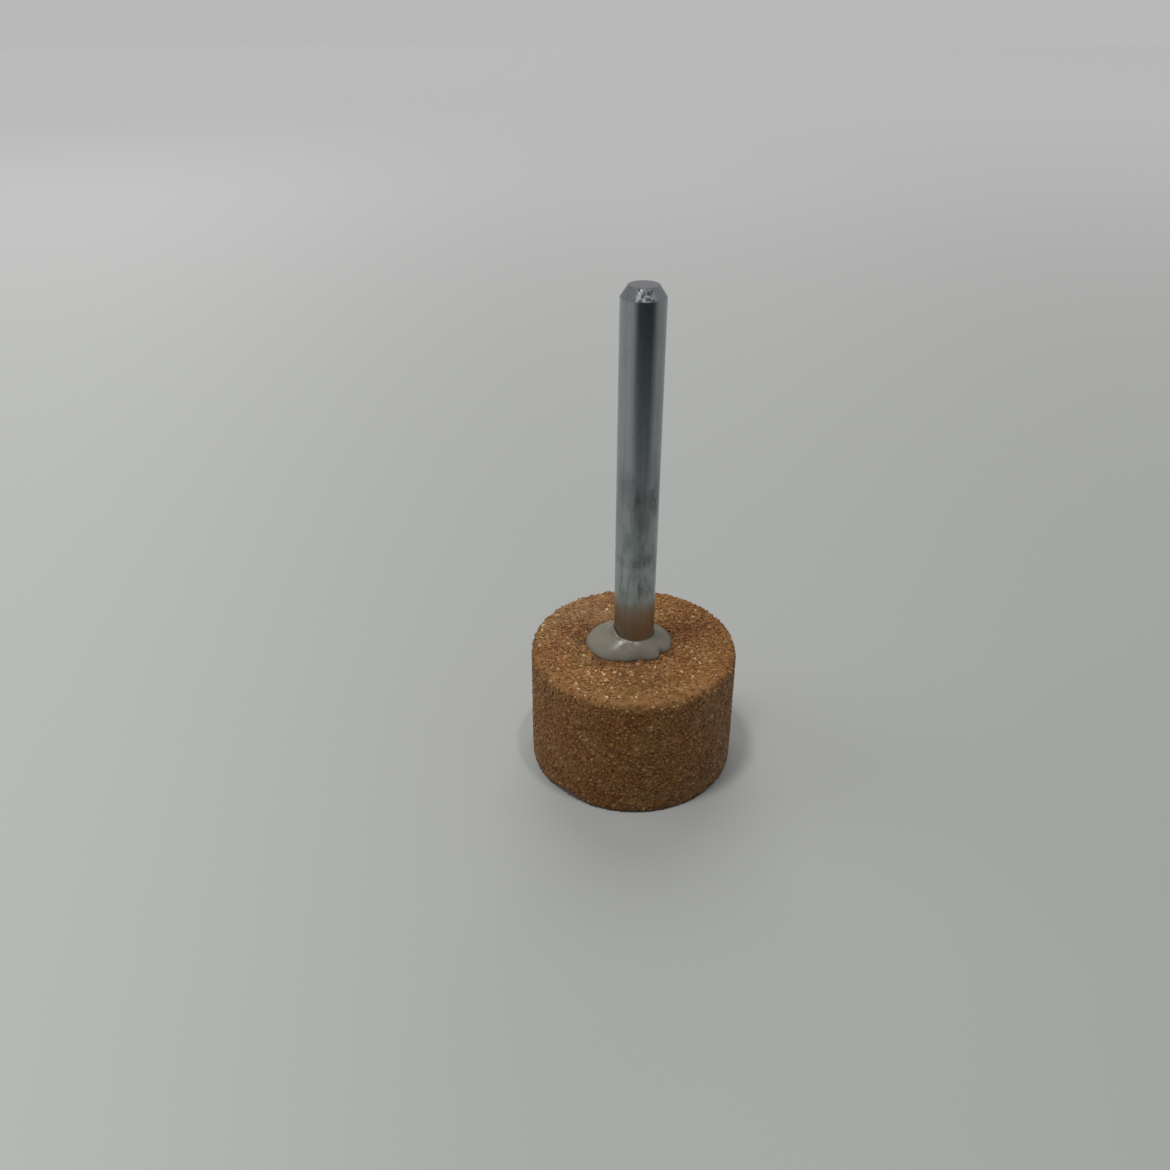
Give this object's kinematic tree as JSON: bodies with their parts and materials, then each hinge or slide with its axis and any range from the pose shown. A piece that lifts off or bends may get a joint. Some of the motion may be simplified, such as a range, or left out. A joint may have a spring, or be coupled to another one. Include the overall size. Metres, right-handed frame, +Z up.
{
  "type": "mounted grinding stone",
  "caption": "Cylindrical abrasive wheel cemented onto a plain round steel shank, for grinding with a rotary tool whose collet grips the shank.",
  "frame": {"origin": "centre of the wheel's flat base face, on the shank's axis", "axes": "+Z up along the shank, from the wheel to the tip; -Y faces the camera of the picture"},
  "size_m": [0.0316, 0.0316, 0.0738],
  "materials": {
    "abrasive": "coarse brown fused grain with sparkling crystals and open pores",
    "plated_steel": "bright zinc plating, slightly pitted towards the wheel",
    "cement": "smooth set grey cement"
  },
  "bodies": {
    "root": {"grinding_stone": "abrasive", "steel_shank": "plated_steel", "bonding_cement": "cement"}
  },
  "joints": []
}
